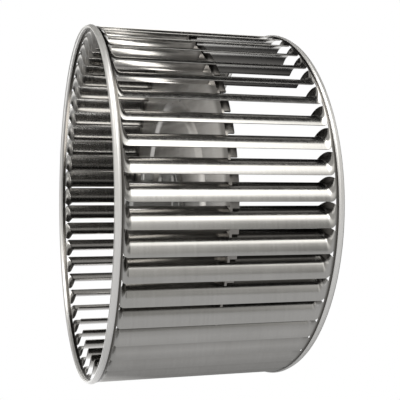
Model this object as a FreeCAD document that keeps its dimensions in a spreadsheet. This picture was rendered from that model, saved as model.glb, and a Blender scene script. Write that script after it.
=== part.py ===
import FreeCAD, Part
import math
import os
import Sketcher
from FreeCAD import Placement, Rotation, Vector

# Double inlet blower wheel. Millimetres, wheel centre at the origin, spin axis along Y, Z up.
# The blades' tips lean towards -Z where the wheel passes +X, the way a turn about +Y goes.

# Driving sizes
SIZES = [
    ("wheel_diameter", 254, "outside of the end rings"),
    ("wheel_width", 140, "over both end rings"),
    ("ring_gauge", 0.8, "sheet of the end rings"),
    ("ring_width", 4, "outer wall of a ring, along the axis"),
    ("ring_lip", 3, "inner wall of a ring, along the axis"),
    ("ring_bend", 0.5, "flat across the ring's outer bends"),
    ("crimp_clearance", 0.1, "between a ring and the strip inside it"),
    ("strip_gauge", 0.7, "sheet of the louvred strip"),
    ("margin_width", 4.6, "plain band from the strip's edge to the blade ends"),
    ("blade_count", 50, "blades around the wheel"),
    ("blade_depth", 14, "from the blade's inner edge to the strip, along the radius"),
    ("blade_turn", 90, "angle that the blade's section turns through, degrees"),
    ("flare_length", 4.5, "twist zone between the margin and the full blade section"),
    ("slot_end_width", 1.6, "slot between two blade ends at the margin"),
    ("end_inset", 0.03, "step from the margin's faces to those of a blade's end"),
    ("disc_gauge", 1.5, "sheet of the centre disc"),
    ("rim_inset", 5, "from the strip's outside in to the rim of the disc's teeth"),
    ("notch_clearance", 0.15, "around a blade in its notch"),
    ("bead_radius", 72, "middle of the stiffening bead pressed in the disc"),
    ("bead_width", 14, "foot of the bead, along the radius"),
    ("bead_height", 3, "rise of the bead"),
    ("bore_diameter", 12.7, "shaft bore"),
    ("hub_diameter", 32, "hub barrel"),
    ("hub_inlet_length", 30, "barrel from the flange's face towards the -Y inlet"),
    ("hub_spigot_length", 5, "barrel past the reinforcing plate"),
    ("flange_diameter", 62, "hub flange and reinforcing plate"),
    ("flange_gauge", 4, "hub flange"),
    ("plate_gauge", 2.5, "reinforcing plate"),
    ("hub_chamfer", 1, "ends of the barrel"),
    ("seat_clearance", 0.1, "barrel in the disc and in the plate"),
    ("rivet_count", 4, "rivets through the flange"),
    ("rivet_circle", 47, "diameter of the rivet circle"),
    ("rivet_start", 45, "angle of the first rivet from +X, degrees"),
    ("rivet_diameter", 6, "rivet shank"),
    ("rivet_head_diameter", 10, "rivet head"),
    ("rivet_head_height", 2.4, "rivet head"),
    ("rivet_clearance", 0.1, "shank in its holes"),
    ("screw_diameter", 7.9, "set screw"),
    ("screw_clearance", 0.05, "set screw in its hole"),
    ("screw_tip_gap", 0.3, "from the bore to the screw's point"),
    ("screw_neck", 1.5, "from the barrel to the screw's square head"),
    ("screw_head_width", 8, "across the flats of the square head"),
    ("screw_head_height", 6, "square head"),
    ("screw_from_flange", 15, "screw axis from the flange's face"),
]

# Radii and places along Y that follow from the driving sizes
PLACES = [
    ("ring_outside", "sizes.wheel_diameter / 2"),
    ("ring_inside", "ring_outside - sizes.ring_gauge"),
    ("wheel_end", "sizes.wheel_width / 2"),
    ("web_face", "wheel_end - sizes.ring_gauge"),
    ("ring_edge", "wheel_end - sizes.ring_width"),
    ("lip_edge", "wheel_end - sizes.ring_lip"),
    ("strip_outside", "ring_inside - sizes.crimp_clearance"),
    ("strip_inside", "strip_outside - sizes.strip_gauge"),
    ("lip_outside", "strip_inside - sizes.crimp_clearance"),
    ("lip_inside", "lip_outside - sizes.ring_gauge"),
    ("strip_edge", "web_face - sizes.crimp_clearance"),
    ("margin_edge", "strip_edge - sizes.margin_width"),
    ("blade_inner", "strip_outside - sizes.blade_depth"),
    ("disc_face", "sizes.disc_gauge / 2"),
    ("disc_outside", "strip_outside - sizes.rim_inset"),
    ("bead_inner", "sizes.bead_radius - sizes.bead_width / 2"),
    ("bead_outer", "sizes.bead_radius + sizes.bead_width / 2"),
    ("crest_inner", "sizes.bead_radius - sizes.bead_width / 4"),
    ("crest_outer", "sizes.bead_radius + sizes.bead_width / 4"),
    ("crest_low", "sizes.bead_height - disc_face"),
    ("crest_high", "sizes.bead_height + disc_face"),
    ("disc_back", "-disc_face"),
    ("bore_radius", "sizes.bore_diameter / 2"),
    ("hub_radius", "sizes.hub_diameter / 2"),
    ("hub_seat", "hub_radius + sizes.seat_clearance"),
    ("flange_radius", "sizes.flange_diameter / 2"),
    ("flange_face", "-disc_face - sizes.flange_gauge"),
    ("plate_face", "disc_face + sizes.plate_gauge"),
    ("hub_low", "flange_face - sizes.hub_inlet_length"),
    ("hub_high", "plate_face + sizes.hub_spigot_length"),
    ("rivet_place", "sizes.rivet_circle / 2"),
    ("rivet_radius", "sizes.rivet_diameter / 2"),
    ("rivet_hole", "rivet_radius + sizes.rivet_clearance"),
    ("rivet_head_radius", "sizes.rivet_head_diameter / 2"),
    ("grip", "plate_face - flange_face"),
    ("screw_radius", "sizes.screw_diameter / 2"),
    ("screw_hole", "screw_radius + sizes.screw_clearance"),
    ("screw_place", "flange_face - sizes.screw_from_flange"),
    ("screw_tip", "bore_radius + sizes.screw_tip_gap"),
    ("screw_head_low", "hub_radius + sizes.screw_neck"),
]

# Chords along each face of a blade
BLADE_FLATS = 5
WHEEL_AXIS = Vector(0, 1, 0)
CENTRE = Vector(0, 0, 0)
ALONG_AXIS = Rotation(Vector(0, 0, 1), WHEEL_AXIS)

doc = FreeCAD.newDocument("blower_wheel")


def fill_sheet(name, rows, formula):
    """A sheet with one named cell for each size."""
    sheet = doc.addObject("Spreadsheet::Sheet", name)
    for row, entry in enumerate(rows, start=1):
        sheet.set("A%d" % row, entry[0])
        sheet.set("B%d" % row, "=" + entry[1] if formula else str(entry[1]))
        sheet.setAlias("B%d" % row, entry[0])
        if not formula:
            sheet.set("C%d" % row, entry[2])
    doc.recompute()
    return sheet


sizes = fill_sheet("sizes", SIZES, False)
places = fill_sheet("places", PLACES, True)


def bound(kind, name, **expressions):
    """A document object whose properties follow the sheets."""
    item = doc.addObject(kind, name)
    for key, expression in expressions.items():
        item.setExpression(key, expression)
    return item


def cylinder(name, radius, height, start):
    """A cylinder on the wheel's axis, from the place start towards +Y."""
    item = bound("Part::Cylinder", name, Radius=radius, Height=height)
    item.Placement = Placement(CENTRE, ALONG_AXIS)
    item.setExpression("Placement.Base.y", start)
    return item


def cut(name, base, tool):
    item = doc.addObject("Part::Cut", name)
    item.Base = base
    item.Tool = tool
    return item


def fuse(name, pieces):
    item = doc.addObject("Part::MultiFuse", name)
    item.Shapes = pieces
    return item


def plane(body, role):
    return [feature for feature in body.Origin.OriginFeatures if feature.Role == role][0]


def turned(name, corners):
    """A body turned about Y from a closed profile of (radius, place) corners, named in the sheet."""
    body = doc.addObject("PartDesign::Body", name)
    sketch = body.newObject("Sketcher::SketchObject", name + "_profile")
    sketch.AttachmentSupport = (plane(body, "XY_Plane"), [""])
    sketch.MapMode = "FlatFace"
    spots = [Vector(getattr(places, across), getattr(places, along), 0) for across, along in corners]
    count = len(corners)
    for index in range(count):
        sketch.addGeometry(Part.LineSegment(spots[index], spots[(index + 1) % count]), False)
    for index in range(count):
        sketch.addConstraint(Sketcher.Constraint("Coincident", index, 2, (index + 1) % count, 1))
    for index, (across, along) in enumerate(corners):
        for kind, alias, value in (("DistanceX", across, spots[index].x),
                                   ("DistanceY", along, spots[index].y)):
            number = sketch.addConstraint(Sketcher.Constraint(kind, index, 1, value))
            sketch.setExpression("Constraints[%d]" % number, "places." + alias)
    revolution = body.newObject("PartDesign::Revolution", name + "_turned")
    revolution.Profile = sketch
    revolution.ReferenceAxis = (sketch, ["V_Axis"])
    revolution.Angle = 360
    body.Tip = revolution
    doc.recompute()
    return body


def chamfer_edges(body, name, size, chosen):
    """Chamfers the circular edges whose (radius, place) is in the list chosen."""
    base = body.Tip
    names = []
    for number, edge in enumerate(base.Shape.Edges, start=1):
        if not isinstance(edge.Curve, Part.Circle):
            continue
        for radius, place in chosen:
            same_radius = abs(edge.Curve.Radius - radius) < 1e-4
            if same_radius and abs(edge.Curve.Center.y - place) < 1e-4:
                names.append("Edge%d" % number)
    chamfer = body.newObject("PartDesign::Chamfer", name)
    chamfer.Base = (base, names)
    chamfer.setExpression("Size", size)
    body.Tip = chamfer
    doc.recompute()


def end_ring():
    """The rolled ring at the +Y end: outer wall, web across the strip's edge, inner lip."""
    body = turned("right_end_ring", [
        ("ring_outside", "ring_edge"),
        ("ring_outside", "wheel_end"),
        ("lip_inside", "wheel_end"),
        ("lip_inside", "lip_edge"),
        ("lip_outside", "lip_edge"),
        ("lip_outside", "web_face"),
        ("ring_inside", "web_face"),
        ("ring_inside", "ring_edge"),
    ])
    bends = [(places.ring_outside, places.wheel_end), (places.lip_inside, places.wheel_end)]
    chamfer_edges(body, "ring_bends", "sizes.ring_bend", bends)
    return body


def flat_face(corners):
    return Part.Face(Part.makePolygon(corners + corners[:1]))


class BladeForm:
    """The section of one blade, which passes +X, in the plane of X and Z.

    The middle of the sheet follows an arc. In the full section it starts radially at the inner
    edge and turns through blade_turn towards -Z. Its tip stays on one line along the wheel. In
    the twist zone the arc swings about the tip until it lies in the cylinder of the margin,
    where it is one pitch less the slot long. The blades are many, so each face of the sheet is
    BLADE_FLATS chords of its arc, with their ends on the arc.
    """

    def __init__(self):
        turn = math.radians(sizes.blade_turn)
        inner = places.blade_inner
        self.mid_radius = places.strip_outside - sizes.strip_gauge / 2
        # The arc's radius that puts the tip on the margin's cylinder
        squared = 2 - 2 * math.cos(turn)
        linear = 2 * inner * math.sin(turn)
        constant = inner ** 2 - self.mid_radius ** 2
        bend = (-linear + math.sqrt(linear ** 2 - 4 * squared * constant)) / (2 * squared)
        self.tip = Vector(inner + bend * math.sin(turn), 0, -bend * (1 - math.cos(turn)))
        tip_angle = math.atan2(-self.tip.z, self.tip.x)
        pitch = 2 * math.pi / sizes.blade_count
        end_angle = pitch - sizes.slot_end_width / self.mid_radius
        self.pitch_degrees = math.degrees(pitch)
        # Heading at the tip, angle turned and radius of the section's arc
        self.full_arc = (turn, turn, bend)
        self.margin_arc = (math.pi / 2 + tip_angle, end_angle, self.mid_radius)

    def corners(self, place, arc, gauge):
        """Corners of the section at a place along Y: one face from root to tip, then the other back."""
        heading, turn, radius = arc
        centre = self.tip + Vector(-math.sin(heading), 0, -math.cos(heading)) * radius
        centre.y = place

        def spot(step, offset):
            angle = heading - turn * (1 - step / BLADE_FLATS)
            return centre + Vector(math.sin(angle), 0, math.cos(angle)) * (radius + offset)

        steps = range(BLADE_FLATS + 1)
        outer_face = [spot(step, gauge / 2) for step in steps]
        inner_face = [spot(step, -gauge / 2) for step in reversed(steps)]
        return outer_face + inner_face

    def solid(self):
        """One blade from margin to margin: straight in the middle, a twist of flat facets at each end."""
        gauge = sizes.strip_gauge
        end_gauge = gauge - 2 * sizes.end_inset
        straight = places.margin_edge - sizes.flare_length
        rows = [
            self.corners(-places.margin_edge, self.margin_arc, end_gauge),
            self.corners(-straight, self.full_arc, gauge),
            self.corners(straight, self.full_arc, gauge),
            self.corners(places.margin_edge, self.margin_arc, end_gauge),
        ]
        faces = [flat_face(rows[0][::-1]), flat_face(rows[-1])]
        count = len(rows[0])
        for index in range(count):
            after = (index + 1) % count
            faces += [flat_face([rows[0][index], rows[0][after], rows[1][after]]),
                      flat_face([rows[0][index], rows[1][after], rows[1][index]]),
                      flat_face([rows[1][index], rows[1][after], rows[2][after], rows[2][index]]),
                      flat_face([rows[2][index], rows[2][after], rows[3][index]]),
                      flat_face([rows[2][after], rows[3][after], rows[3][index]])]
        return Part.makeSolid(Part.makeShell(faces))

    def around(self, shape):
        """The shape copied once for each blade."""
        copies = []
        for number in range(int(sizes.blade_count)):
            copy = shape.copy()
            copy.rotate(CENTRE, WHEEL_AXIS, number * self.pitch_degrees)
            copies.append(copy)
        return copies


def margin(start):
    """Plain band of the strip, from the place start towards +Y."""
    outer = Part.makeCylinder(places.strip_outside, sizes.margin_width, Vector(0, start, 0), WHEEL_AXIS)
    inner = Part.makeCylinder(places.strip_inside, sizes.margin_width, Vector(0, start, 0), WHEEL_AXIS)
    return outer.cut(inner)


def blade_strip(form):
    """The louvred strip: blades and both margins in one pressed piece."""
    blades = form.around(form.solid())
    bands = [margin(places.margin_edge), margin(-places.strip_edge)]
    strip = doc.addObject("Part::Feature", "blade_strip")
    strip.Shape = bands[0].multiFuse(bands[1:] + blades).Solids[0]
    strip.Placement = Placement(CENTRE, Rotation())
    return strip


def centre_disc(form):
    """The pressed disc with a bead, a notch for each blade, and holes for the hub and rivets."""
    blank = turned("disc_blank", [
        ("hub_seat", "disc_back"),
        ("bead_inner", "disc_back"),
        ("crest_inner", "crest_low"),
        ("crest_outer", "crest_low"),
        ("bead_outer", "disc_back"),
        ("disc_outside", "disc_back"),
        ("disc_outside", "disc_face"),
        ("bead_outer", "disc_face"),
        ("crest_outer", "crest_high"),
        ("crest_inner", "crest_high"),
        ("bead_inner", "disc_face"),
        ("hub_seat", "disc_face"),
    ])
    notch_gauge = sizes.strip_gauge + 2 * sizes.notch_clearance
    opening = form.corners(-sizes.disc_gauge, form.full_arc, notch_gauge)
    notch = flat_face(opening).extrude(WHEEL_AXIS * 2 * sizes.disc_gauge)
    notches = doc.addObject("Part::Feature", "notches")
    notches.Shape = Part.makeCompound(form.around(notch))
    notches.Placement = Placement(CENTRE, Rotation())
    notched = cut("notched_disc", blank, notches)
    holes = rivet_row("disc_rivet_holes", "places.rivet_hole", "-places.grip", "2 * places.grip")
    return cut("centre_disc", notched, holes)


def rivet_angles():
    return [math.radians(sizes.rivet_start + number * 360 / sizes.rivet_count)
            for number in range(int(sizes.rivet_count))]


def rivet_row(name, radius, start, length):
    """Cylinders on the rivet circle, one for each rivet."""
    holes = []
    for number, angle in enumerate(rivet_angles()):
        hole = cylinder("%s_%d" % (name, number + 1), radius, length, start)
        hole.setExpression("Placement.Base.x", "places.rivet_place * %.9f" % math.cos(angle))
        hole.setExpression("Placement.Base.z", "places.rivet_place * %.9f" % math.sin(angle))
        holes.append(hole)
    return fuse(name, holes)


def hub():
    """Barrel and flange turned in one piece, drilled for the rivets and the set screw."""
    blank = turned("hub_blank", [
        ("bore_radius", "hub_low"),
        ("hub_radius", "hub_low"),
        ("hub_radius", "flange_face"),
        ("flange_radius", "flange_face"),
        ("flange_radius", "disc_back"),
        ("hub_radius", "disc_back"),
        ("hub_radius", "hub_high"),
        ("bore_radius", "hub_high"),
    ])
    ends = [(places.hub_radius, places.hub_low), (places.hub_radius, places.hub_high)]
    chamfer_edges(blank, "barrel_ends", "sizes.hub_chamfer", ends)
    holes = rivet_row("flange_rivet_holes", "places.rivet_hole", "-2 * places.grip", "4 * places.grip")
    drilled = cut("drilled_hub", blank, holes)
    tapped = bound("Part::Cylinder", "screw_hole", Radius="places.screw_hole", Height="sizes.hub_diameter")
    tapped.setExpression("Placement.Base.y", "places.screw_place")
    return cut("hub", drilled, tapped)


def hub_plate():
    """The reinforcing plate on the disc's +Y face."""
    round_plate = cylinder("plate_blank", "places.flange_radius", "sizes.plate_gauge", "places.disc_face")
    seat = cylinder("plate_seat", "places.hub_seat", "2 * places.grip", "-places.grip")
    holes = rivet_row("plate_rivet_holes", "places.rivet_hole", "-places.grip", "2 * places.grip")
    return cut("hub_plate", cut("bored_plate", round_plate, seat), holes)


def hub_rivets():
    """The rivets, a shank and two flat heads each, as one group."""
    shanks = rivet_row("rivet_shanks", "places.rivet_radius", "places.flange_face", "places.grip")
    low_heads = rivet_row("low_heads", "places.rivet_head_radius",
                          "places.flange_face - sizes.rivet_head_height", "sizes.rivet_head_height")
    high_heads = rivet_row("high_heads", "places.rivet_head_radius",
                           "places.plate_face", "sizes.rivet_head_height")
    return fuse("hub_rivets", [shanks, low_heads, high_heads])


def set_screw():
    """Square head set screw, radial in the barrel, its point just short of the shaft."""
    shank = bound("Part::Cylinder", "screw_shank", Radius="places.screw_radius",
                  Height="places.screw_head_low - places.screw_tip + sizes.screw_head_height / 2")
    shank.setExpression("Placement.Base.y", "places.screw_place")
    shank.setExpression("Placement.Base.z", "places.screw_tip")
    head = bound("Part::Box", "screw_head", Length="sizes.screw_head_width",
                 Width="sizes.screw_head_width", Height="sizes.screw_head_height")
    head.setExpression("Placement.Base.x", "-sizes.screw_head_width / 2")
    head.setExpression("Placement.Base.y", "places.screw_place - sizes.screw_head_width / 2")
    head.setExpression("Placement.Base.z", "places.screw_head_low")
    return fuse("set_screw", [shank, head])


def left_ring(source):
    """The ring at the -Y end, the mirror image of the other."""
    ring = doc.addObject("Part::Mirroring", "left_end_ring")
    ring.Source = source
    ring.Normal = WHEEL_AXIS
    ring.Base = CENTRE
    return ring


def check_and_write(nodes):
    """Every object has to be sound before any file is written."""
    doc.recompute()
    for item in doc.Objects:
        if "Invalid" in item.State or "Error" in item.State:
            raise RuntimeError("%s failed: %s" % (item.Name, item.State))
    for node in nodes:
        if node.Shape.isNull() or not node.Shape.isValid():
            raise RuntimeError("%s has no sound shape" % node.Label)
    os.makedirs("parts", exist_ok=True)
    for node in nodes:
        node.Shape.exportStep("parts/%s.step" % node.Label)
        print(node.Label, len(node.Shape.Solids), "solids, volume %.1f" % node.Shape.Volume)


blade = BladeForm()
right_ring = end_ring()
check_and_write([
    blade_strip(blade),
    right_ring,
    left_ring(right_ring),
    centre_disc(blade),
    hub(),
    hub_plate(),
    hub_rivets(),
    set_screw(),
])
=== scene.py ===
import math

import bpy
import numpy as np
from mathutils import Matrix, Vector


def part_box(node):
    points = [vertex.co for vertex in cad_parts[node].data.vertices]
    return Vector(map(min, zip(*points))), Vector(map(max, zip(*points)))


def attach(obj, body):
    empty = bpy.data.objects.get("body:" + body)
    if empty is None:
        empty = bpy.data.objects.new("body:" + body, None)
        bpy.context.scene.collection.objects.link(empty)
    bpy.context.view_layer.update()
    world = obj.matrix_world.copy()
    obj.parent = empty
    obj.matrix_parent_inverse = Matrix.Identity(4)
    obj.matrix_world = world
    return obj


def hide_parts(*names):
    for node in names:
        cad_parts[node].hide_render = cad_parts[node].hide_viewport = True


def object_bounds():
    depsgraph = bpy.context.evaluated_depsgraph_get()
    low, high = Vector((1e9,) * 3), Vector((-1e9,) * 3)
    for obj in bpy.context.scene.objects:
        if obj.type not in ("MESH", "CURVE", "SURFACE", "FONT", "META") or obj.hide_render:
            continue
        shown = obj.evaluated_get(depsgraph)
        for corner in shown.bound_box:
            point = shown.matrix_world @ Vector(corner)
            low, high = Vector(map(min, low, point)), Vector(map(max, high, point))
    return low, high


# Double inlet blower wheel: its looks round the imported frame. Metres, spin axis along Y, Z up.
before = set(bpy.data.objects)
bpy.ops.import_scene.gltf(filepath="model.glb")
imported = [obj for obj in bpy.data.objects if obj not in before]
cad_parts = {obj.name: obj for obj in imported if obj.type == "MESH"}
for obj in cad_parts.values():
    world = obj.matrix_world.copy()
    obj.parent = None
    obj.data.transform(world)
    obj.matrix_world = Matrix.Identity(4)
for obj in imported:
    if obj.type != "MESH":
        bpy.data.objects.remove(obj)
cad_low, cad_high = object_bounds()

MM = 0.001

# Sizes read from the frame
ring_low, ring_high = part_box("right_end_ring")
strip_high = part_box("blade_strip")[1]
disc_low, disc_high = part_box("centre_disc")
hub_low, hub_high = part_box("hub")
plate_low, plate_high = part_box("hub_plate")
rivets_low, rivets_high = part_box("hub_rivets")
screw_low, screw_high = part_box("set_screw")
WHEEL_RADIUS = ring_high.z
WHEEL_END = ring_high.y
RING_EDGE = ring_low.y
STRIP_OUTSIDE = strip_high.z
STRIP_EDGE = strip_high.y
DISC_OUTSIDE = disc_high.z
FLANGE_RADIUS = hub_high.z

# Sizes of the louvred strip and of the rings
BLADE_COUNT = 50
BLADE_DEPTH = 14 * MM
BLADE_TURN = math.radians(90)
STRIP_GAUGE = 0.7 * MM
MARGIN_WIDTH = 4.6 * MM
FLARE_LENGTH = 4.5 * MM
SLOT_END_WIDTH = 1.6 * MM
CORNER_LENGTH = 3.2 * MM
CORNER_DEPTH = 3.4 * MM
RING_GAUGE = 0.8 * MM
RING_LIP = 3 * MM
RING_BEND = 1.4 * MM
RING_CROWN = 0.5 * MM
CRIMP_CLEARANCE = 0.1 * MM
CUT_ROUNDING = 0.15 * MM
SHARP_CORNER = math.radians(38)

# Sizes of the disc, hub and fasteners
DISC_GAUGE = 1.5 * MM
BEAD_RADIUS = 72 * MM
BEAD_WIDTH = 14 * MM
TOOTH_ROOT = 111.9 * MM
TOOTH_OVERLAP = 0.4 * MM
TOOTH_INSET = 0.02 * MM
NOTCH_CLEARANCE = 0.15 * MM
TAB_RADIUS = 120.8 * MM
TAB_REACH = 5.2 * MM
TAB_ROOT = 0.2 * MM
TAB_EASE_HEIGHT = 0.2 * MM
TAB_EASE_INSET = 0.15 * MM
TAB_SIDE_SHARE = 0.08
BORE_RADIUS = 6.35 * MM
HUB_RADIUS = 16 * MM
HUB_SEAT = 16.1 * MM
HUB_CHAMFER = 1 * MM
FLANGE_ROOT = 1.2 * MM
FLANGE_GAUGE = 4 * MM
RIVET_COUNT = 4
RIVET_CIRCLE = 23.5 * MM
RIVET_START = math.radians(45)
RIVET_RADIUS = 3 * MM
RIVET_HEAD_RADIUS = 5 * MM
RIVET_DOME_SHARE = 0.62
RIVET_POLE_RADIUS = 0.01 * MM
SCREW_RADIUS = 3.95 * MM
SCREW_HEAD_HALF = 4 * MM
SCREW_HEAD_HEIGHT = 6 * MM
HEAD_POLE_RADIUS = 0.05 * MM
THREAD_PITCH = 1.4 * MM
SCREW_TIP = 6.65 * MM
SCREW_TIP_TAPER = 1.5 * MM
SCREW_TIP_SHARE = 0.7
THREAD_DEPTH = 0.45 * MM
CORNER_REACH = 1.3
SCREW_PLACE = (screw_low.y + screw_high.y) / 2

BLADE_INNER = STRIP_OUTSIDE - BLADE_DEPTH
STRIP_MIDDLE = STRIP_OUTSIDE - STRIP_GAUGE / 2
STRIP_INSIDE = STRIP_OUTSIDE - STRIP_GAUGE
MARGIN_EDGE = STRIP_EDGE - MARGIN_WIDTH
RING_INSIDE = WHEEL_RADIUS - RING_GAUGE
LIP_OUTSIDE = STRIP_INSIDE - CRIMP_CLEARANCE
LIP_INSIDE = LIP_OUTSIDE - RING_GAUGE
PITCH = 2 * math.pi / BLADE_COUNT
FLANGE_FACE = -DISC_GAUGE / 2 - FLANGE_GAUGE

# Mesh steps
FACE_STEPS = 12
CUT_STEPS = 3
FLARE_STEPS = 12
FLARE_STEP_POWER = 1.3
ROUND_STEPS = 300
BEND_STEPS = 5
CROWN_STEPS = 9
BEAD_STEPS = 25
ARC_STEPS = 200
TOOTH_ROWS = 7
TOOTH_COLUMNS = 5
DOME_STEPS = 8
RIVET_STEPS = 48
SCREW_STEPS = 64
THREAD_ROWS = 90

# The camera stands in front of the wheel, past its -Y end, and looks across the blades
CAMERA_OUT = 0.4946
CAMERA_ALONG = -0.1447
CAMERA_HEIGHT = 0.0029
CAMERA_YAW = math.radians(13.58)
CAMERA_RISE = math.radians(0.43)
CAMERA_LENS = 61.7
CAMERA_SHIFT = 0.15
CAMERA_SENSOR = 36
CAMERA_CLIP = (0.01, 20)


def grid_faces(rows, columns, rows_closed=False):
    """Quads of a grid whose columns close on themselves, and whose rows may close too."""
    row = np.arange(rows if rows_closed else rows - 1)[:, None]
    column = np.arange(columns)[None, :]
    after = (column + 1) % columns
    below = (row + 1) % rows
    quads = np.stack([row * columns + column, below * columns + column,
                      below * columns + after, row * columns + after], axis=-1)
    return quads.reshape(-1, 4)


def bars(points, uv):
    """Closed bars from an array (bars, stations, columns, 3): a skin round each, and two flat ends."""
    count, stations, columns = points.shape[:3]
    first = np.arange(count) * stations * columns
    faces = (grid_faces(stations, columns)[None] + first[:, None, None]).reshape(-1, 4).tolist()
    near_end = np.arange(columns)
    far_end = (stations - 1) * columns + np.arange(columns)[::-1]
    faces += (near_end[None] + first[:, None]).tolist() + (far_end[None] + first[:, None]).tolist()
    return points, faces, uv


def turned(profile, centre=(0, 0), steps=ROUND_STEPS):
    """A closed profile of (radius, place) points carried round an axis along Y.

    A point at angle a is (centre x + radius cos a, place, centre z + radius sin a). The profile
    runs clockwise, with the radius to the right, so that the faces point outwards. The UV is the
    way round and the way along the profile, both in metres.
    """
    profile = np.asarray(profile, float)
    after = np.roll(profile, -1, axis=0)
    if np.sum(profile[:, 0] * after[:, 1] - after[:, 0] * profile[:, 1]) > 0:
        profile = profile[::-1]
    angle = np.linspace(0, 2 * math.pi, steps, endpoint=False)[:, None]
    place = np.broadcast_to(profile[:, 1], (steps, len(profile)))
    points = np.stack([centre[0] + np.cos(angle) * profile[:, 0], place,
                       centre[1] + np.sin(angle) * profile[:, 0]], axis=-1)
    way = np.concatenate([[0], np.cumsum(np.hypot(*np.diff(profile, axis=0).T))])
    uv = np.stack(np.broadcast_arrays(angle * profile[:, 0].max(), way[None, :]), axis=-1)
    return points, grid_faces(steps, len(profile), True).tolist(), uv


def rounded(corners, radii):
    """Corners of a closed profile, each replaced by a round of its own radius.

    The round starts and ends where the two sides leave a circle of that radius, and its points
    are spread evenly in angle between the two side directions.
    """
    corners = np.asarray(corners, float)
    points = []
    for index, (corner, radius) in enumerate(zip(corners, radii)):
        before = corners[index - 1] - corner
        after = corners[(index + 1) % len(corners)] - corner
        before /= np.linalg.norm(before)
        after /= np.linalg.norm(after)
        half = math.acos(np.clip(before @ after, -1, 1)) / 2
        middle = before + after
        middle /= np.linalg.norm(middle)
        centre = corner + middle * radius / math.sin(half)
        start = corner + before * radius / math.tan(half) - centre
        end = corner + after * radius / math.tan(half) - centre
        share = np.linspace(0, 1, BEND_STEPS)[:, None]
        sweep = math.pi - 2 * half
        arc = (np.sin((1 - share) * sweep) * start + np.sin(share * sweep) * end) / math.sin(sweep)
        points.append(centre + arc)
    return np.concatenate(points)


def piece(name, surfaces, material, stands_for):
    """One smooth mesh from several surfaces, creased at sharp corners, in place of a CAD node."""
    points, faces, uv = [], [], []
    first = 0
    for surface_points, surface_faces, surface_uv in surfaces:
        flat_points = surface_points.reshape(-1, 3)
        points.append(flat_points)
        uv.append(surface_uv.reshape(-1, 2))
        faces += [[first + corner for corner in face] for face in surface_faces]
        first += len(flat_points)
    mesh = bpy.data.meshes.new(name)
    mesh.from_pydata(np.concatenate(points), [], faces)
    layer = mesh.uv_layers.new(name="sheet")
    corners = np.zeros(len(mesh.loops), np.int32)
    mesh.loops.foreach_get("vertex_index", corners)
    layer.data.foreach_set("uv", np.concatenate(uv)[corners].astype(np.float32).ravel())
    mesh.polygons.foreach_set("use_smooth", np.ones(len(mesh.polygons), bool))
    mesh.set_sharp_from_angle(angle=SHARP_CORNER)
    mesh.materials.append(material)
    mesh.update()
    item = bpy.data.objects.new(name, mesh)
    bpy.context.scene.collection.objects.link(item)
    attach(item, "root")
    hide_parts(stands_for)
    return item


def end_ring(side):
    """The rolled ring at one end: a crowned outer wall, a web over the strip's edge, an inner lip.

    The outer wall is a parabola: its radius falls from the middle of the wall to both sides by
    RING_CROWN times the square of the share of the way.
    """
    middle = (RING_EDGE + WHEEL_END - RING_BEND) / 2
    half = WHEEL_END - RING_BEND - middle
    share = np.linspace(1, -1, CROWN_STEPS)[1:-1, None]
    wall = np.concatenate([WHEEL_RADIUS - RING_CROWN * share ** 2, middle + share * half], axis=1)
    cut = CUT_ROUNDING
    shoulder = WHEEL_RADIUS - RING_CROWN
    corners = rounded(
        [(shoulder, RING_EDGE), (RING_INSIDE - cut, RING_EDGE), (RING_INSIDE - cut, WHEEL_END - RING_GAUGE),
         (LIP_OUTSIDE, WHEEL_END - RING_GAUGE), (LIP_OUTSIDE, WHEEL_END - RING_LIP),
         (LIP_INSIDE, WHEEL_END - RING_LIP), (LIP_INSIDE, WHEEL_END), (shoulder, WHEEL_END)],
        [cut] * 6 + [RING_BEND] * 2)
    profile = np.concatenate([corners, wall])
    return [turned(profile * (1, side))]


def section_points(centre, radius, angle, offset):
    """Points of a blade's section: centre + (radius + offset) (sin angle, cos angle)."""
    reach = radius + offset
    return centre[..., :1] + np.sin(angle) * reach, centre[..., 1:] + np.cos(angle) * reach


def around(across, up, place, turn):
    """Sections in the plane of X and Z carried round the wheel by the angles in turn."""
    turn = np.asarray(turn).reshape((-1,) + (1,) * across.ndim)
    turned_across = across * np.cos(turn) + up * np.sin(turn)
    turned_up = up * np.cos(turn) - across * np.sin(turn)
    return np.stack(np.broadcast_arrays(turned_across, np.asarray(place), turned_up), axis=-1)


def full_section():
    """Bend radius and tip of the full blade section.

    The section is an arc that starts radially at the blade's inner edge and turns through
    BLADE_TURN. Its radius is the one that puts the tip on the middle of the strip's margin.
    """
    squared = 2 - 2 * math.cos(BLADE_TURN)
    linear = 2 * BLADE_INNER * math.sin(BLADE_TURN)
    constant = BLADE_INNER ** 2 - STRIP_MIDDLE ** 2
    bend = (-linear + math.sqrt(linear ** 2 - 4 * squared * constant)) / (2 * squared)
    tip = np.array([BLADE_INNER + bend * math.sin(BLADE_TURN), -bend * (1 - math.cos(BLADE_TURN))])
    return bend, tip


BEND, TIP = full_section()
BLADE_ANGLES = np.arange(BLADE_COUNT) * PITCH


def blade_loop():
    """The way round a blade's section.

    The columns are the share of the arc back from the tip, metres added to that, and the offset
    from the middle of the sheet as a share of half the gauge. The sheared edges are half ellipses.
    """
    face = np.linspace(1, 0, FACE_STEPS)
    turn = np.linspace(0, math.pi, CUT_STEPS + 2)[1:-1]
    inset = CUT_ROUNDING
    outer = np.stack([face, inset * (1 - 2 * face), np.ones(FACE_STEPS)], axis=1)
    tip = np.stack([np.zeros(CUT_STEPS), inset * (1 - np.sin(turn)), np.cos(turn)], axis=1)
    inner = np.stack([face[::-1], inset * (1 - 2 * face[::-1]), -np.ones(FACE_STEPS)], axis=1)
    root = np.stack([np.ones(CUT_STEPS), inset * (np.sin(turn) - 1), -np.cos(turn)], axis=1)
    return np.concatenate([outer, tip, inner, root])


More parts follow.
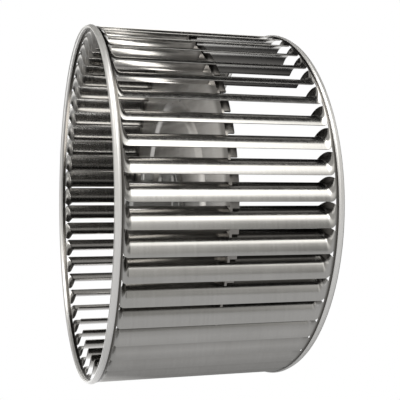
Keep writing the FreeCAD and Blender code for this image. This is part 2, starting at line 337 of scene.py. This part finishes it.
def blades():
    """The blades, each from margin to margin.

    With w the share of the way in from the margin, the section's heading at the tip, the angle it
    turns through and its length go from the margin's cylinder to the full section with
    w^2 (3 - 2 w). The rows of points are closer near the margin: w is an even step to the
    FLARE_STEP_POWER. The tip's corner at the margin is a quarter ellipse, CORNER_DEPTH deep at
    the margin and CORNER_LENGTH long.
    """
    end_angle = PITCH - SLOT_END_WIDTH / STRIP_MIDDLE
    full = np.array([BLADE_TURN, BLADE_TURN, BEND * BLADE_TURN])
    flat = np.array([math.pi / 2 + math.atan2(-TIP[1], TIP[0]), end_angle, end_angle * STRIP_MIDDLE])
    way = np.linspace(0, 1, FLARE_STEPS) ** FLARE_STEP_POWER
    share = 1 - way ** 2 * (3 - 2 * way)
    place = MARGIN_EDGE - way * FLARE_LENGTH
    bite = 1 - np.sqrt(1 - np.clip(1 - way * FLARE_LENGTH / CORNER_LENGTH, 0, 1) ** 2)
    place = np.concatenate([-place, place[::-1]])
    share = np.concatenate([share, share[::-1]])
    bite = np.concatenate([bite, bite[::-1]])[:, None] * CORNER_DEPTH

    heading, turn, length = (full + (flat - full) * share[:, None]).T[:, :, None]
    radius = length / turn
    centre = TIP - np.concatenate([np.sin(heading), np.cos(heading)], axis=1) * radius
    loop = blade_loop()
    back = bite + loop[:, 0] * (length - bite) + loop[:, 1]
    across, up = section_points(centre, radius, heading - back / radius, loop[:, 2] * STRIP_GAUGE / 2)
    points = around(across, up, place[:, None], BLADE_ANGLES)
    way_round = back + BLADE_ANGLES[:, None, None] * STRIP_OUTSIDE
    return bars(points, np.stack(np.broadcast_arrays(way_round, place[:, None]), axis=-1))


def margin(side):
    """The plain band at one end of the strip, under the ring."""
    corners = [(STRIP_OUTSIDE, MARGIN_EDGE), (STRIP_INSIDE, MARGIN_EDGE),
               (STRIP_INSIDE, STRIP_EDGE), (STRIP_OUTSIDE, STRIP_EDGE)]
    return turned(rounded(corners, [CUT_ROUNDING] * 4) * (1, side))


def bead(radius):
    """Rise of the disc's bead at a radius: half a cosine wave across BEAD_WIDTH."""
    share = np.clip(np.abs(radius - BEAD_RADIUS) / (BEAD_WIDTH / 2), 0, 1)
    return (disc_high.y - DISC_GAUGE / 2) * (1 + np.cos(math.pi * share)) / 2


def disc_plate():
    """The disc from the hub's seat to the roots of its teeth, with the bead pressed in."""
    wave = np.linspace(BEAD_RADIUS - BEAD_WIDTH / 2, BEAD_RADIUS + BEAD_WIDTH / 2, BEAD_STEPS)
    radius = np.concatenate([[HUB_SEAT], wave, [TOOTH_ROOT]])
    top = np.stack([radius, bead(radius) + DISC_GAUGE / 2], axis=1)
    bottom = np.stack([radius, bead(radius) - DISC_GAUGE / 2], axis=1)
    return turned(np.concatenate([top, bottom[::-1]]))


def tooth_sides():
    """Radii of a tooth's rows, and how far below a blade's root, as an angle, its two sides lie there.

    The sides follow the blade above and the blade below, both NOTCH_CLEARANCE off.
    """
    radius = np.linspace(TOOTH_ROOT - TOOTH_OVERLAP, DISC_OUTSIDE, TOOTH_ROWS)
    step = np.linspace(0, BLADE_TURN, ARC_STEPS)[:, None]
    centre = np.array([[BLADE_INNER, -BEND]])
    offset = STRIP_GAUGE / 2 + NOTCH_CLEARANCE
    sides = []
    for sign, start in ((-1, 0), (1, PITCH)):
        across, up = section_points(centre, BEND, step, sign * offset)
        reach = np.hypot(across, up).ravel()
        below = start - np.arctan2(up, across).ravel()
        sides.append(np.interp(radius, reach, below))
    return radius, *sides


def disc_teeth():
    """Teeth of the disc, one between each blade and the next.

    At each radius a tooth's points share out the angle between its two sides evenly.
    """
    radius, upper, lower = tooth_sides()
    share = np.linspace(0, 1, TOOTH_COLUMNS)
    below = upper[:, None] + (lower - upper)[:, None] * share
    below = np.concatenate([below, below[:, ::-1]], axis=1)
    half = DISC_GAUGE / 2 - TOOTH_INSET
    place = np.repeat([half, -half], TOOTH_COLUMNS)
    points = around(np.cos(below) * radius[:, None], -np.sin(below) * radius[:, None], place, BLADE_ANGLES)
    return bars(points, np.stack([points[..., 0], points[..., 2]], axis=-1))


def disc_tabs():
    """The tab turned up on each tooth of the disc.

    A tab is a piece of a cylinder of TAB_RADIUS, a disc's gauge thick, that reaches TAB_REACH
    along Y from the disc's middle. It leaves TAB_SIDE_SHARE of the tooth's width free on each
    side. The last TAB_EASE_HEIGHT of its end is drawn in by TAB_EASE_INSET.
    """
    row_radius, *sides = tooth_sides()
    upper, lower = [np.interp(TAB_RADIUS - DISC_GAUGE / 2, row_radius, side) for side in sides]
    share = TAB_SIDE_SHARE + (1 - 2 * TAB_SIDE_SHARE) * np.linspace(0, 1, TOOTH_COLUMNS)
    below = upper + (lower - upper) * share
    below = np.concatenate([below, below[::-1]])
    radius = np.repeat([TAB_RADIUS, TAB_RADIUS - DISC_GAUGE], TOOTH_COLUMNS)
    inset = np.array([[0], [0], [0], [TAB_EASE_INSET]]) * np.repeat([1, -1], TOOTH_COLUMNS)
    disc_face = DISC_GAUGE / 2 - TOOTH_INSET
    place = np.array([[TAB_ROOT], [disc_face], [TAB_REACH - TAB_EASE_HEIGHT], [TAB_REACH]])
    points = around(np.cos(below) * (radius - inset), -np.sin(below) * (radius - inset), place, BLADE_ANGLES)
    return bars(points, np.stack([points[..., 0], points[..., 2] + points[..., 1]], axis=-1))


def hub():
    """Barrel and flange turned in one piece, with a small round where they meet."""
    cut = CUT_ROUNDING
    corners = [(BORE_RADIUS, hub_low.y), (HUB_RADIUS, hub_low.y), (HUB_RADIUS, FLANGE_FACE),
               (FLANGE_RADIUS, FLANGE_FACE), (FLANGE_RADIUS, -DISC_GAUGE / 2), (HUB_RADIUS, -DISC_GAUGE / 2),
               (HUB_RADIUS, hub_high.y), (BORE_RADIUS, hub_high.y)]
    chamfer = HUB_CHAMFER
    return [turned(rounded(corners, [2 * cut, chamfer, FLANGE_ROOT, 3 * cut, cut, cut, chamfer, 2 * cut]))]


def hub_plate():
    """The reinforcing plate on the disc's other face."""
    corners = [(HUB_SEAT, plate_low.y), (FLANGE_RADIUS, plate_low.y),
               (FLANGE_RADIUS, plate_high.y), (HUB_SEAT, plate_high.y)]
    cut = CUT_ROUNDING
    return [turned(rounded(corners, [cut, cut, 3 * cut, 2 * cut]))]


def rivet_heads():
    """Rivets with low domed heads: the dome's rise falls with the square of the radius."""
    share = np.linspace(0, 1, DOME_STEPS)
    radius = np.maximum(RIVET_HEAD_RADIUS * share, RIVET_POLE_RADIUS)
    dome = []
    for face, far in ((FLANGE_FACE, rivets_low.y), (plate_high.y, rivets_high.y)):
        place = face + (far - face) * (1 - RIVET_DOME_SHARE * share ** 2)
        dome.append(np.stack([radius, place], axis=1))
    neck = [(RIVET_RADIUS, FLANGE_FACE), (RIVET_RADIUS, plate_high.y)]
    profile = np.concatenate([dome[0], [(RIVET_HEAD_RADIUS, FLANGE_FACE)], neck,
                              [(RIVET_HEAD_RADIUS, plate_high.y)], dome[1][::-1]])
    angles = RIVET_START + np.arange(RIVET_COUNT) * 2 * math.pi / RIVET_COUNT
    centres = RIVET_CIRCLE * np.stack([np.cos(angles), np.sin(angles)], axis=1)
    return [turned(profile, centre, RIVET_STEPS) for centre in centres]


def set_screw():
    """The set screw, upright in the barrel: threaded shank and square head.

    A point of the shank at angle a and height h lies at SCREW_RADIUS less a ripple of
    (1 + cos(2 pi h / pitch - a)) / 2 times THREAD_DEPTH. The head is a square whose radius at
    angle a is half its width over max(|cos a|, |sin a|), at most CORNER_REACH times that half,
    with eased edges and a domed top.
    """
    angle = np.linspace(0, 2 * math.pi, SCREW_STEPS, endpoint=False)[None, :]
    head_low = screw_high.z - SCREW_HEAD_HEIGHT
    height = np.linspace(SCREW_TIP, head_low, THREAD_ROWS)[:, None]
    ripple = (1 + np.cos(2 * math.pi * height / THREAD_PITCH - angle)) / 2
    ease = np.clip((height - SCREW_TIP) / SCREW_TIP_TAPER, 0, 1)
    taper = SCREW_TIP_SHARE + (1 - SCREW_TIP_SHARE) * ease
    shank = SCREW_RADIUS * taper - THREAD_DEPTH * ripple
    square = 1 / np.maximum(np.abs(np.cos(angle)), np.abs(np.sin(angle)))
    square = SCREW_HEAD_HALF * np.minimum(square, CORNER_REACH)
    middle = HEAD_POLE_RADIUS / SCREW_HEAD_HALF

    # Shares of the head's half width, and heights, from the middle of its underside to that of its top
    rows = np.array([(middle, head_low), (0.94, head_low), (1, head_low + 0.3 * MM),
                     (1, screw_high.z - 0.9 * MM), (0.9, screw_high.z - 0.25 * MM),
                     (0.7, screw_high.z), (middle, screw_high.z)])
    head = square * rows[:, :1]
    surfaces = []
    for reach, level in ((shank, height), (head, rows[:, 1:])):
        across, along = reach * np.cos(angle), SCREW_PLACE - reach * np.sin(angle)
        points = np.stack(np.broadcast_arrays(across, along, level), axis=-1)
        uv = np.stack(np.broadcast_arrays(angle * SCREW_RADIUS, level), axis=-1)
        surfaces.append(bars(points[None], uv))
    return surfaces


# Scales of the pattern on rolled sheet, in cells per metre, and the factor that draws out its lines
SCALE_NAMES = ("Line Scale", "Cloud Scale", "Crystal Scale")
SHEET_SCALES = (600, 30, 260)
LINE_STRETCH = 0.02

# Shares of lines and cloud in the tone, and the span of their sum from dark to light
LINE_SHARE, CLOUD_SHARE = 0.4, 0.6
TONE_SPAN = (0.35, 0.65)

# Share of the crystals beside the lines in the wear, and the span of their sum from smooth to rough
CRYSTAL_SHARE = 0.5
WEAR_SPAN = (0.3, 1.1)

# Largest share of the painted shade tone, and the tone itself: painted shade, not a dull finish
PAINTED_SHADE_SHARE = 0.75
PAINTED_SHADE_TONE = (0.2, 0.19, 0.18, 1)

# Depth of the relief that the lines make
GRAIN_DEPTH = 0.1 * MM


def node(tree, kind, values=None, **settings):
    """A shader node with its settings, and with values for its inputs by name or number."""
    made = tree.nodes.new(kind)
    for key, value in settings.items():
        setattr(made, key, value)
    for key, value in (values or {}).items():
        made.inputs[key].default_value = value
    return made


def slope(tree, start=0, end=1, low=0, high=1):
    """A node that gives low up to start, high past end, and a straight slope between them."""
    values = {"From Min": start, "From Max": end, "To Min": low, "To Max": high}
    return node(tree, "ShaderNodeMapRange", values)


def join(tree, *pairs):
    """Links, each given as an output and an input."""
    for output, target in pairs:
        tree.links.new(output, target)


def empty_group(name, inputs, outputs):
    """A shader group with a vector and numbers going in and numbers coming out, and its two ends."""
    group = bpy.data.node_groups.new(name, "ShaderNodeTree")
    face = group.interface
    face.new_socket("Vector", in_out="INPUT", socket_type="NodeSocketVector")
    for key, value in inputs.items():
        face.new_socket(key, in_out="INPUT", socket_type="NodeSocketFloat").default_value = value
    for key in outputs:
        face.new_socket(key, in_out="OUTPUT", socket_type="NodeSocketFloat")
    return group, node(group, "NodeGroupInput"), node(group, "NodeGroupOutput")


def rolled_sheet_group():
    """Rolled sheet: lines along X of the vector, cloudy stain and zinc crystals, each from 0 to 1."""
    group, start, end = empty_group(
        "rolled_sheet", dict(zip(SCALE_NAMES, SHEET_SCALES)), ("Lines", "Cloud", "Crystals"))
    stretch = node(group, "ShaderNodeVectorMath", {1: (LINE_STRETCH, 1, 1)}, operation="MULTIPLY")
    lines = node(group, "ShaderNodeTexNoise", {"Detail": 2})
    cloud = node(group, "ShaderNodeTexNoise", {"Detail": 4, "Distortion": 0.6})
    crystals = node(group, "ShaderNodeTexVoronoi", feature="F1")
    join(group,
         (start.outputs["Vector"], stretch.inputs[0]), (stretch.outputs[0], lines.inputs["Vector"]),
         (start.outputs["Line Scale"], lines.inputs["Scale"]), (lines.outputs["Fac"], end.inputs["Lines"]),
         (start.outputs["Vector"], cloud.inputs["Vector"]),
         (start.outputs["Cloud Scale"], cloud.inputs["Scale"]), (cloud.outputs["Fac"], end.inputs["Cloud"]),
         (start.outputs["Vector"], crystals.inputs["Vector"]),
         (start.outputs["Crystal Scale"], crystals.inputs["Scale"]),
         (crystals.outputs["Color"], end.inputs["Crystals"]))
    return group


def painted_shade_group():
    """Painted shade by distance from the wheel's axis: its largest share at the shaded radius, 0 at the
    unshaded one.
    """
    group, start, end = empty_group(
        "painted_shade_by_radius", {"Painted Shade Radius": BLADE_INNER, "Unshaded Radius": STRIP_INSIDE}, ("Painted Shade",))
    level = node(group, "ShaderNodeVectorMath", {1: (1, 0, 1)}, operation="MULTIPLY")
    away = node(group, "ShaderNodeVectorMath", operation="LENGTH")
    dull = slope(group, low=PAINTED_SHADE_SHARE, high=0)
    join(group,
         (start.outputs["Vector"], level.inputs[0]), (level.outputs[0], away.inputs[0]),
         (away.outputs["Value"], dull.inputs["Value"]),
         (start.outputs["Painted Shade Radius"], dull.inputs["From Min"]),
         (start.outputs["Unshaded Radius"], dull.inputs["From Max"]), (dull.outputs[0], end.inputs["Painted Shade"]))
    return group


ROLLED_SHEET = rolled_sheet_group()
PAINTED_SHADE_BY_RADIUS = painted_shade_group()


def with_painted_shade(tree, place, finish, shade_radii, margin_shade):
    """The finish darkened towards the painted shade tone by radius and, where a margin span is given, in the
    margins: painted shade, not a dull finish.
    """
    radial = node(tree, "ShaderNodeGroup", dict(zip(("Painted Shade Radius", "Unshaded Radius"), shade_radii)),
                  node_tree=PAINTED_SHADE_BY_RADIUS)
    mixed = node(tree, "ShaderNodeMix", {7: PAINTED_SHADE_TONE}, data_type="RGBA", blend_type="MULTIPLY")
    join(tree, (place.outputs["Object"], radial.inputs["Vector"]), (finish, mixed.inputs[6]))
    shade_amount = radial.outputs["Painted Shade"]
    if margin_shade:
        split = node(tree, "ShaderNodeSeparateXYZ")
        reach = node(tree, "ShaderNodeMath", operation="ABSOLUTE")
        fade = slope(tree, *margin_shade)
        either = node(tree, "ShaderNodeMath", operation="MAXIMUM")
        join(tree,
             (place.outputs["Object"], split.inputs[0]), (split.outputs["Y"], reach.inputs[0]),
             (reach.outputs[0], fade.inputs["Value"]), (fade.outputs[0], either.inputs[0]),
             (shade_amount, either.inputs[1]))
        shade_amount = either.outputs[0]
    join(tree, (shade_amount, mixed.inputs[0]))
    return mixed.outputs[2]


def steel(name, light, dark, roughness, source="UV", scales=SHEET_SCALES, grain=0.05, metal=1,
          shade_radii=None, margin_shade=None):
    """Steel: tone from dark to light by cloud and lines, roughness by crystals and lines.

    Source is the texture coordinate that carries the pattern, and scales are those of its lines,
    cloud and crystals. The shade radii are the radii where the painted shade is deepest and where it
    is gone again. The margin span is where along Y, from the wheel's middle, the painted shade in the
    margin under the ring starts and ends its rise.
    """
    material = bpy.data.materials.new(name)
    material.use_nodes = True
    tree = material.node_tree
    shader = tree.nodes["Principled BSDF"]
    shader.inputs["Metallic"].default_value = metal
    place = node(tree, "ShaderNodeTexCoord")
    sheet = node(tree, "ShaderNodeGroup", dict(zip(SCALE_NAMES, scales)), node_tree=ROLLED_SHEET)
    streaks = node(tree, "ShaderNodeMath", {1: LINE_SHARE}, operation="MULTIPLY")
    stain = node(tree, "ShaderNodeMath", {1: CLOUD_SHARE}, operation="MULTIPLY_ADD")
    tone = slope(tree, *TONE_SPAN)
    colour = node(tree, "ShaderNodeMix", {6: (*dark, 1), 7: (*light, 1)}, data_type="RGBA")
    wear = node(tree, "ShaderNodeMath", {1: CRYSTAL_SHARE}, operation="MULTIPLY_ADD")
    gloss = slope(tree, *WEAR_SPAN, *roughness)
    bump = node(tree, "ShaderNodeBump", {"Strength": grain, "Distance": GRAIN_DEPTH})
    join(tree,
         (place.outputs[source], sheet.inputs["Vector"]),
         (sheet.outputs["Lines"], streaks.inputs[0]),
         (sheet.outputs["Cloud"], stain.inputs[0]), (streaks.outputs[0], stain.inputs[2]),
         (stain.outputs[0], tone.inputs["Value"]), (tone.outputs[0], colour.inputs[0]),
         (sheet.outputs["Crystals"], wear.inputs[0]), (sheet.outputs["Lines"], wear.inputs[2]),
         (wear.outputs[0], gloss.inputs["Value"]), (gloss.outputs[0], shader.inputs["Roughness"]),
         (sheet.outputs["Lines"], bump.inputs["Height"]), (bump.outputs[0], shader.inputs["Normal"]))
    finish = colour.outputs[2]
    if shade_radii:
        finish = with_painted_shade(tree, place, finish, shade_radii, margin_shade)
    join(tree, (finish, shader.inputs["Base Color"]))
    return material


# Painted shade: the strip darkens towards the blades' roots, between the blades, and in its margins under
# the rings
strip_steel = steel("strip_steel", (0.61, 0.60, 0.58), (0.55, 0.54, 0.52), (0.16, 0.24), grain=0.03,
                    shade_radii=(117 * MM, 124.5 * MM), margin_shade=(63.6 * MM, 65.2 * MM))
ring_steel = steel("ring_steel", (0.96, 0.95, 0.93), (0.90, 0.89, 0.87), (0.28, 0.38), metal=0.7)
# Painted shade: the disc darkens outwards from its bead onto its teeth and tabs, between the blades
disc_steel = steel("disc_steel", (0.95, 0.93, 0.90), (0.82, 0.79, 0.75), (0.26, 0.38), source="Object",
                   scales=(500, 60, 220), grain=0.02, shade_radii=(116 * MM, 111 * MM))
hub_steel = steel("hub_steel", (0.58, 0.58, 0.57), (0.48, 0.48, 0.47), (0.26, 0.40),
                  scales=(1800, 60, 500), grain=0.12)
fastener_steel = steel("fastener_steel", (0.66, 0.66, 0.64), (0.52, 0.52, 0.51), (0.24, 0.38),
                       source="Object", scales=(900, 90, 700))

strip = piece("louvred_strip", [blades(), margin(-1), margin(1)], strip_steel, "blade_strip")
piece("left_rolled_ring", end_ring(-1), ring_steel, "left_end_ring")
piece("right_rolled_ring", end_ring(1), ring_steel, "right_end_ring")
piece("notched_disc", [disc_plate(), disc_teeth(), disc_tabs()], disc_steel, "centre_disc")
piece("turned_hub", hub(), hub_steel, "hub")
piece("backing_plate", hub_plate(), disc_steel, "hub_plate")
piece("domed_rivets", rivet_heads(), fastener_steel, "hub_rivets")
piece("square_head_screw", set_screw(), fastener_steel, "set_screw")


# Light that the metal sees: strength by the angle above +X, in degrees, turned about the wheel's axis
ROOM = [(-180, 1.3), (-90, 0.3), (-2, 0.8), (0, 0.9), (20, 1.2), (38, 1.7), (50, 5.6), (80, 6.2), (86, 0.01),
        (152, 0.01), (160, 1.3), (180, 1.3)]
ROOM_TONE = (1, 0.99, 0.96)

# Place, size and power of the lamps: one before the -Y end, and two small cards inside that inlet
LAMP_TONE = (1, 0.99, 0.97)
INLET_FILL = ((0.2, -1.2, 0.1), (0.7, 0.7), 0.8)
LOWER_CARD = ((0, -0.035, -0.085), (0.13, 0.055), 0.16)
UPPER_CARD = ((0.055, -0.035, 0.08), (0.055, 0.055), 0.04)

# By the Y of a direction: where the room darkens and to which share, and where its even ends begin
FAR_START, FAR_END, FAR_SHARE = 0.1, 0.5, 0.27
ENDS_MIDDLE, ENDS_START, ENDS_FULL = 0.225, 0.475, 0.675
ENDS_TONE = (0.62, 0.61, 0.59, 1)

# Share of the light that is left after several reflections, and the ray depths between which it falls
DEEP_SHARE = 0.08
DEEP_START, DEEP_END = 1.4, 3.4

# The floor as the metal sees it, a glow with light and shade painted in: a painted shadow behind and under
# the wheel, grey in front by X, and a painted pool of light towards -Y by Y + slant X, of which a share is
# left far out along -Y
FLOOR_SHADOW, FLOOR_FRONT, FLOOR_LEFT = 0.05, 0.5, 1.2
FRONT_START, FRONT_END = -0.06, 0.12
LEFT_SLANT, LEFT_START, LEFT_END = 1.3, 0.06, -0.08
DISTANT_START, DISTANT_END, DISTANT_SHARE = -0.34, -0.16, 0.35
FLOOR_REACH = 3.0
FLOOR_GAP = 0.5 * MM


def show(tree, to_metal, to_camera, surface):
    """Shows one shader to the camera, and the other, dimmed with each reflection, to the metal."""
    ray = node(tree, "ShaderNodeLightPath")
    depth = slope(tree, DEEP_START, DEEP_END, 1, DEEP_SHARE)
    choose = node(tree, "ShaderNodeMixShader")
    join(tree,
         (ray.outputs["Ray Depth"], depth.inputs["Value"]), (depth.outputs[0], to_metal.inputs["Strength"]),
         (ray.outputs["Is Camera Ray"], choose.inputs[0]), (to_metal.outputs[0], choose.inputs[1]),
         (to_camera.outputs[0], choose.inputs[2]), (choose.outputs[0], surface.inputs["Surface"]))


def studio():
    """White surroundings for the camera. The metal sees ROOM, darker towards +Y and even at the ends."""
    world = bpy.data.worlds.new("studio")
    bpy.context.scene.world = world
    world.use_nodes = True
    tree = world.node_tree
    tree.nodes.clear()
    place = node(tree, "ShaderNodeTexCoord")
    split = node(tree, "ShaderNodeSeparateXYZ")
    above = node(tree, "ShaderNodeMath", operation="ARCTAN2")
    height = slope(tree, -math.pi, math.pi)
    ramp = node(tree, "ShaderNodeValToRGB")
    elements = ramp.color_ramp.elements
    for angle, value in ROOM[1:-1]:
        elements.new((angle + 180) / 360)
    for element, (angle, value) in zip(elements, ROOM):
        element.color = (*(value * tone for tone in ROOM_TONE), 1)
    far = slope(tree, FAR_START, FAR_END, 1, FAR_SHARE)
    dim = node(tree, "ShaderNodeMix", {0: 1.0}, data_type="RGBA", blend_type="MULTIPLY")
    centred = node(tree, "ShaderNodeMath", {1: -ENDS_MIDDLE}, operation="ADD")
    aside = node(tree, "ShaderNodeMath", operation="ABSOLUTE")
    ends = slope(tree, ENDS_START, ENDS_FULL)
    room = node(tree, "ShaderNodeMix", {7: ENDS_TONE}, data_type="RGBA")
    to_metal = node(tree, "ShaderNodeBackground")
    to_camera = node(tree, "ShaderNodeBackground", {"Color": (1, 1, 1, 1)})
    join(tree,
         (place.outputs["Generated"], split.inputs[0]),
         (split.outputs["Z"], above.inputs[0]), (split.outputs["X"], above.inputs[1]),
         (above.outputs[0], height.inputs["Value"]), (height.outputs[0], ramp.inputs["Fac"]),
         (split.outputs["Y"], far.inputs["Value"]), (ramp.outputs["Color"], dim.inputs[6]),
         (far.outputs[0], dim.inputs[7]), (dim.outputs[2], room.inputs[6]),
         (split.outputs["Y"], centred.inputs[0]), (centred.outputs[0], aside.inputs[0]),
         (aside.outputs[0], ends.inputs["Value"]), (ends.outputs[0], room.inputs[0]),
         (room.outputs[2], to_metal.inputs["Color"]))
    show(tree, to_metal, to_camera, node(tree, "ShaderNodeOutputWorld"))


def floor():
    """A plain pale floor, white to the camera. To the metal it glows with painted light: grey in front, a
    painted shadow behind and under the wheel, and a painted pool of light near the -Y end.
    """
    level = cad_low.z - FLOOR_GAP
    corners = np.array([(-1, -1), (1, -1), (1, 1), (-1, 1)]) * FLOOR_REACH
    mesh = bpy.data.meshes.new("studio_floor")
    mesh.from_pydata(np.insert(corners, 2, level, axis=1).tolist(), [], [(0, 1, 2, 3)])
    item = bpy.data.objects.new("studio_floor", mesh)
    bpy.context.scene.collection.objects.link(item)
    material = bpy.data.materials.new("pale_floor")
    material.use_nodes = True
    tree = material.node_tree
    tree.nodes.remove(tree.nodes["Principled BSDF"])
    place = node(tree, "ShaderNodeTexCoord")
    split = node(tree, "ShaderNodeSeparateXYZ")
    # Painted shadow and painted light: the glow the metal sees falls to its shadow level behind the wheel
    # and rises in a pool towards -Y
    front = slope(tree, FRONT_START, FRONT_END, FLOOR_SHADOW, FLOOR_FRONT)
    slant = node(tree, "ShaderNodeMath", {1: LEFT_SLANT}, operation="MULTIPLY_ADD")
    left = slope(tree, LEFT_START, LEFT_END, FLOOR_SHADOW, FLOOR_LEFT)
    near = slope(tree, DISTANT_START, DISTANT_END, DISTANT_SHARE, 1)
    lit = node(tree, "ShaderNodeMath", operation="MULTIPLY")
    grey = node(tree, "ShaderNodeMath", operation="MAXIMUM")
    to_metal = node(tree, "ShaderNodeEmission")
    to_camera = node(tree, "ShaderNodeEmission", {"Color": (1, 1, 1, 1)})
    join(tree,
         (place.outputs["Object"], split.inputs[0]), (split.outputs["X"], front.inputs["Value"]),
         (split.outputs["X"], slant.inputs[0]), (split.outputs["Y"], slant.inputs[2]),
         (slant.outputs[0], left.inputs["Value"]), (split.outputs["Y"], near.inputs["Value"]),
         (near.outputs[0], lit.inputs[0]), (left.outputs[0], lit.inputs[1]),
         (front.outputs[0], grey.inputs[0]), (lit.outputs[0], grey.inputs[1]),
         (grey.outputs[0], to_metal.inputs["Color"]))
    show(tree, to_metal, to_camera, tree.nodes["Material Output"])
    item.data.materials.append(material)


def soft_box(name, place, size, power, lit=None):
    """A lamp that faces the wheel's centre and isn't seen by the camera. It may light one piece alone."""
    light = bpy.data.lights.new(name, "AREA")
    light.shape = "RECTANGLE"
    light.size, light.size_y = size
    light.energy = power
    light.color = LAMP_TONE
    lamp = bpy.data.objects.new(name, light)
    bpy.context.scene.collection.objects.link(lamp)
    lamp.location = place
    lamp.rotation_euler = (-Vector(place)).to_track_quat("-Z", "Y").to_euler()
    lamp.visible_camera = False
    if lit:
        lit_pieces = bpy.data.collections.new(name)
        lit_pieces.objects.link(lit)
        lamp.light_linking.receiver_collection = lit_pieces


def camera():
    """The photograph's view: level beside the wheel's end, raised a little about the wheel's axis."""
    data = bpy.data.cameras.new("camera")
    data.lens = CAMERA_LENS
    data.sensor_width = CAMERA_SENSOR
    data.shift_x = CAMERA_SHIFT
    data.clip_start, data.clip_end = CAMERA_CLIP
    item = bpy.data.objects.new("camera", data)
    bpy.context.scene.collection.objects.link(item)
    forward = Vector((-math.cos(CAMERA_YAW), math.sin(CAMERA_YAW), 0))
    up = Vector((0, 0, 1))
    right = forward.cross(up)
    level = Matrix((right, up, -forward)).transposed().to_4x4()
    level.translation = (CAMERA_OUT, CAMERA_ALONG, CAMERA_HEIGHT)
    item.matrix_world = Matrix.Rotation(-CAMERA_RISE, 4, "Y") @ level
    bpy.context.scene.camera = item


camera()
floor()
studio()
soft_box("left_inlet_fill", *INLET_FILL)
soft_box("left_inlet_card", *LOWER_CARD, strip)
soft_box("left_upper_card", *UPPER_CARD, strip)

bpy.context.scene.view_settings.view_transform = "Standard"
